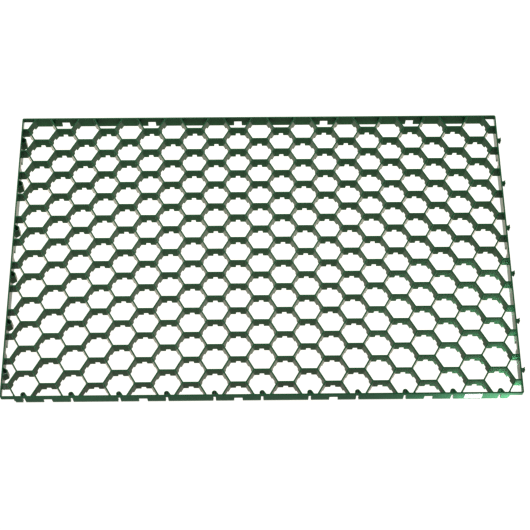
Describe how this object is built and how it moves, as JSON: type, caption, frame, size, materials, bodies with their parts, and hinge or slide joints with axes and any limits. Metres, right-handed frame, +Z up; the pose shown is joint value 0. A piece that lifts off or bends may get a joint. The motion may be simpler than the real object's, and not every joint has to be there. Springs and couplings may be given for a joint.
{
  "type": "honeycomb ground grid panel",
  "caption": "Rectangular open honeycomb panel moulded in green plastic, with drain notches in its feet and drop-in pegs, sockets, tongues and pockets along its edges.",
  "frame": {"origin": "centre of the panel's underside, midway between the outer faces of its four walls", "axes": "+X along the length towards the wall with tongues, +Y across the width towards the wall with pegs, +Z up"},
  "size_m": [0.807, 0.5076, 0.023],
  "materials": {
    "panel_plastic": "dark green moulded polyethylene or polypropylene, semi-gloss, through-coloured",
    "label_paper": "plain white self-adhesive label, blank"
  },
  "bodies": {
    "root": {"front_rail": "panel_plastic", "back_rail": "panel_plastic", "left_rail": "panel_plastic", "right_rail": "panel_plastic", "front_legs": "panel_plastic", "back_legs": "panel_plastic", "left_legs": "panel_plastic", "right_legs": "panel_plastic", "front_sockets": "panel_plastic", "back_pegs": "panel_plastic", "side_pockets": "panel_plastic", "side_tongues": "panel_plastic", "cross_webs_00": "panel_plastic", "cross_webs_01": "panel_plastic", "cross_webs_02": "panel_plastic", "cross_webs_03": "panel_plastic", "cross_webs_04": "panel_plastic", "cross_webs_05": "panel_plastic", "cross_webs_06": "panel_plastic", "cross_webs_07": "panel_plastic", "cross_webs_08": "panel_plastic", "cross_webs_09": "panel_plastic", "cross_webs_10": "panel_plastic", "cross_webs_11": "panel_plastic", "cross_webs_12": "panel_plastic", "cross_webs_13": "panel_plastic", "cross_webs_14": "panel_plastic", "cross_webs_15": "panel_plastic", "cross_webs_16": "panel_plastic", "cross_webs_17": "panel_plastic", "cross_webs_18": "panel_plastic", "cross_webs_19": "panel_plastic", "cross_webs_20": "panel_plastic", "cross_webs_21": "panel_plastic", "cross_webs_22": "panel_plastic", "zigzag_webs_01": "panel_plastic", "zigzag_webs_02": "panel_plastic", "zigzag_webs_03": "panel_plastic", "zigzag_webs_04": "panel_plastic", "zigzag_webs_05": "panel_plastic", "zigzag_webs_06": "panel_plastic", "zigzag_webs_07": "panel_plastic", "zigzag_webs_08": "panel_plastic", "zigzag_webs_09": "panel_plastic", "zigzag_webs_10": "panel_plastic", "zigzag_webs_11": "panel_plastic", "zigzag_webs_12": "panel_plastic", "zigzag_webs_13": "panel_plastic", "zigzag_webs_14": "panel_plastic", "zigzag_webs_15": "panel_plastic", "zigzag_webs_16": "panel_plastic", "zigzag_webs_17": "panel_plastic", "zigzag_webs_18": "panel_plastic", "zigzag_webs_19": "panel_plastic", "zigzag_webs_20": "panel_plastic", "zigzag_webs_21": "panel_plastic", "zigzag_webs_22": "panel_plastic", "blank_label": "label_paper"}
  },
  "joints": []
}
